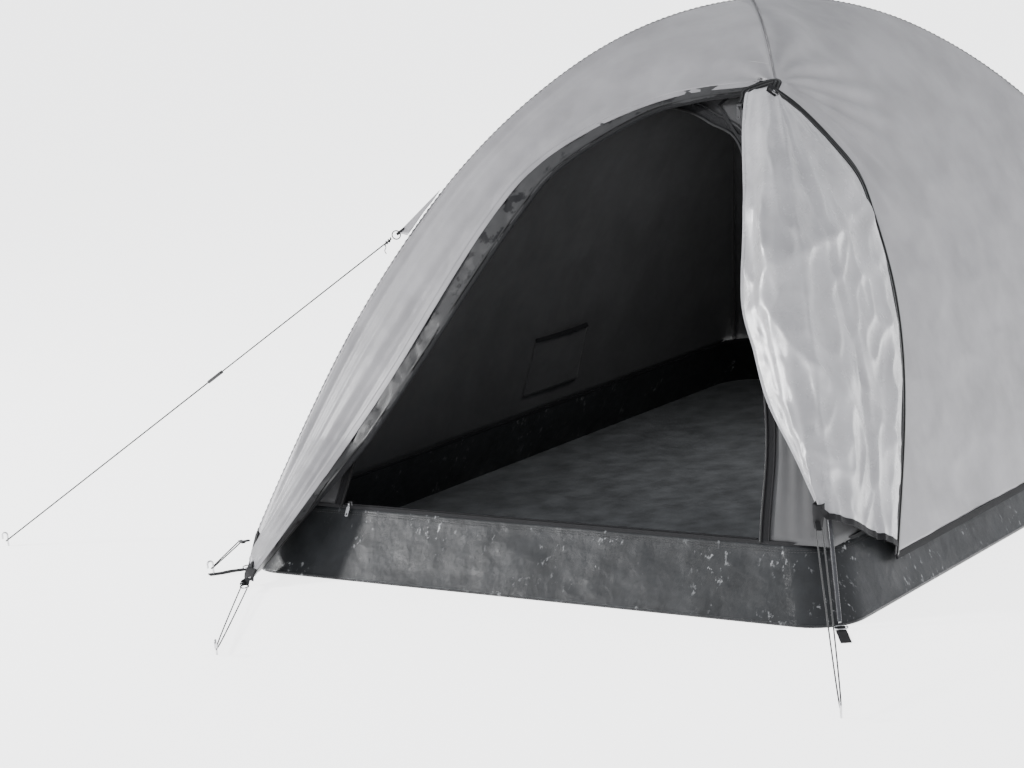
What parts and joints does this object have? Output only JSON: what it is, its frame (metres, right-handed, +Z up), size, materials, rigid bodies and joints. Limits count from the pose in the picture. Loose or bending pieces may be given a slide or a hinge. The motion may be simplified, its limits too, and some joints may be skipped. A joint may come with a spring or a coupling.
{
  "type": "crossed pole dome tent",
  "caption": "Low two-person dome tent on two crossed arched poles, with a dark floor tray, an inner tent with an open arch door, and a silver flysheet with its front door drawn aside.",
  "frame": {"origin": "middle of the tent floor, on the ground", "axes": "+Z up, -Y towards the door, +X to the right seen from the door"},
  "size_m": [2.3212, 2.7016, 1.082],
  "materials": {
    "tray": "satin",
    "inner_fabric": "matte",
    "mesh": "matte",
    "fly_fabric": "satin",
    "dark_facing": "matte",
    "zip_tape": "matte",
    "slider": "satin",
    "pull_tab": "satin",
    "pole": "gloss",
    "sleeve": "matte",
    "ferrule": "satin",
    "steel": "satin",
    "elastic": "matte",
    "webbing": "matte",
    "plastic": "matte",
    "guy_cord": "matte"
  },
  "bodies": {
    "tent": {"corner_elastic": "elastic", "corner_rings": "steel", "corner_straps": "webbing", "crossing_tie": "webbing", "door_elastic": "elastic", "ferrules_lower_pole": "ferrule", "ferrules_upper_pole": "ferrule", "fly_back_panel": "fly_fabric", "fly_corner_hook": "plastic", "fly_door": "fly_fabric", "fly_door_tip": "dark_facing", "fly_front_foot": "fly_fabric", "fly_front_panel": "fly_fabric", "fly_hem_binding": "dark_facing", "fly_left_panel": "fly_fabric", "fly_right_panel": "fly_fabric", "fly_storm_flap": "dark_facing", "fly_storm_flap_foot": "dark_facing", "fly_tip_binding": "dark_facing", "fly_tip_strap": "webbing", "fly_zip_left": "zip_tape", "fly_zip_right": "zip_tape", "fly_zip_slider": "slider", "groundsheet": "tray", "guy_line": "guy_cord", "guy_ring": "plastic", "guy_tabs": "webbing", "inner_back_wall": "inner_fabric", "inner_door": "inner_fabric", "inner_front_wall": "inner_fabric", "inner_left_wall": "inner_fabric", "inner_mesh_vent": "mesh", "inner_right_wall": "inner_fabric", "inner_zip_arch": "zip_tape", "inner_zip_track": "zip_tape", "pegs": "steel", "pole_back_left": "pole", "pole_back_right": "pole", "pole_front_left": "pole", "pole_front_right": "pole", "pole_pins": "steel", "pole_sleeve_back_left": "sleeve", "pole_sleeve_back_right": "sleeve", "pole_sleeve_front_left": "sleeve", "pole_sleeve_front_right": "sleeve", "shock_cord_lower_pole": "elastic", "shock_cord_upper_pole": "elastic", "storage_pocket": "inner_fabric", "tip_elastic": "elastic"},
    "inner_slider": {"inner_zip_slider": "slider"},
    "inner_pull": {"inner_pull_tab": "pull_tab"},
    "fly_pull": {"fly_pull_tab": "pull_tab"},
    "adjuster": {"guy_line_adjuster": "plastic"}
  },
  "joints": [
    {"name": "inner_zip_slide", "type": "slide", "parent": "tent", "child": "inner_slider", "axis": [1, 0, 0], "range_m": [0, 0.94]},
    {"name": "inner_pull_swing", "type": "hinge", "parent": "inner_slider", "child": "inner_pull", "pos_m": [-0.47, -0.96474, 0.138], "axis": [1, 0, 0], "range_deg": [-120, 0]},
    {"name": "fly_pull_swing", "type": "hinge", "parent": "tent", "child": "fly_pull", "pos_m": [0.224, -0.47879, 0.894], "axis": [1, 0, 0], "range_deg": [-150, 0]},
    {"name": "guy_adjuster_slide", "type": "slide", "parent": "tent", "child": "adjuster", "axis": [-0.7628, -0.3181, -0.563], "range_m": [-0.4, 0.5]}
  ]
}
